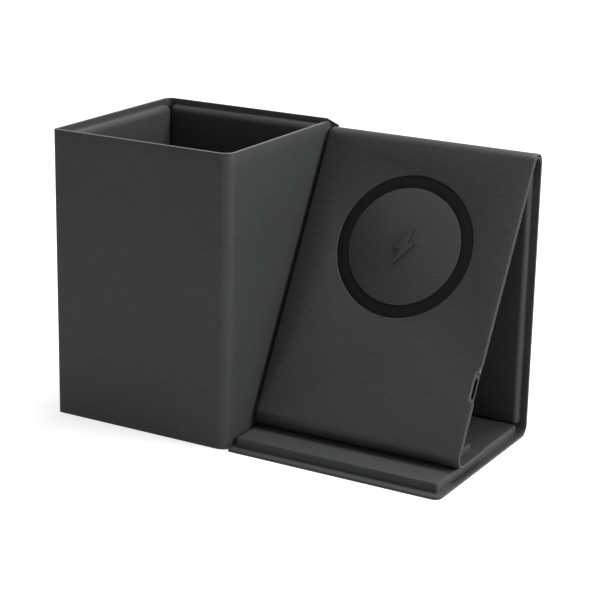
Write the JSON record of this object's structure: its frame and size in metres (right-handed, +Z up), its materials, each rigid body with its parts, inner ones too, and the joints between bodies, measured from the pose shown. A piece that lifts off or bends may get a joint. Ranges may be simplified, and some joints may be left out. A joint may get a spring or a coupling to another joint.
{
  "type": "wireless charger pen holder",
  "caption": "Folding leatherette desk organiser: open pen box beside a slanted stand with a magnetic charging ring and side USB-C socket.",
  "frame": {"origin": "on the table under the middle of the outline, seen from above", "axes": "+X to the right seen from the front, along the back panel; +Y to the back; +Z up"},
  "size_m": [0.1684, 0.079, 0.115],
  "materials": {
    "outer_leatherette": "matte charcoal imitation leather with a fine brushed grain",
    "inner_leatherette": "matte charcoal imitation leather lining",
    "board": "grey board core",
    "ring_black": "matte black soft ring",
    "shell_black": "fine matte black",
    "magnet": "nickel plated magnet",
    "coil": "enamelled copper winding",
    "ferrite": "dark sintered sheet",
    "steel": "thin sheet steel",
    "circuit": "green solder mask",
    "chip": "moulded package",
    "capacitor": "tan ceramic",
    "socket_metal": "plated stainless",
    "tape": "black cloth hinge tape"
  },
  "bodies": {
    "case": {"case_cover": "outer_leatherette", "box_lining": "inner_leatherette", "back_lining": "inner_leatherette", "back_board": "board", "left_board": "board", "front_board": "board", "right_board": "board", "floor_rest": "board", "stand_fold": "outer_leatherette", "base_fold": "outer_leatherette", "floor_tape": "tape"},
    "stand": {"stand_cover": "outer_leatherette", "stand_board": "board", "stand_lining": "inner_leatherette", "charging_ring": "ring_black", "charging_disc": "outer_leatherette", "charger_front_shell": "shell_black", "charger_rear_shell": "shell_black", "ring_magnets": "magnet", "charging_coil": "coil", "ferrite_sheet": "ferrite", "coil_shield": "steel", "circuit_board": "circuit", "driver_chip": "chip", "capacitors": "capacitor", "socket_shell": "socket_metal", "socket_tongue": "chip", "foot_fold": "outer_leatherette"},
    "flap": {"flap_cover": "outer_leatherette", "flap_board": "board", "flap_magnets": "magnet", "flap_lining": "inner_leatherette"},
    "base": {"base_cover": "outer_leatherette", "base_board": "board", "base_lining": "inner_leatherette", "strike_plate": "steel"},
    "floor": {"floor_cover": "outer_leatherette", "floor_board": "board", "floor_lining": "inner_leatherette"}
  },
  "joints": [
    {"name": "stand_swing", "type": "hinge", "parent": "case", "child": "stand", "pos_m": [0.04065, 0.0353, 0.1087], "axis": [-1, 0, 0], "range_deg": [0, 150], "deforming": ["stand_fold"]},
    {"name": "flap_swing", "type": "hinge", "parent": "stand", "child": "flap", "pos_m": [0.04065, -0.01733, 0.0093], "axis": [1, 0, 0], "range_deg": [0, 34], "deforming": ["foot_fold"]},
    {"name": "base_swing", "type": "hinge", "parent": "case", "child": "base", "pos_m": [0.03985, 0.035, 0.0045], "axis": [1, 0, 0], "range_deg": [0, 90], "deforming": ["base_fold"]},
    {"name": "floor_lift", "type": "hinge", "parent": "case", "child": "floor", "pos_m": [-0.04445, 0.0351, 0.0101], "axis": [-1, 0, 0], "range_deg": [0, 86], "deforming": ["floor_tape"]}
  ]
}
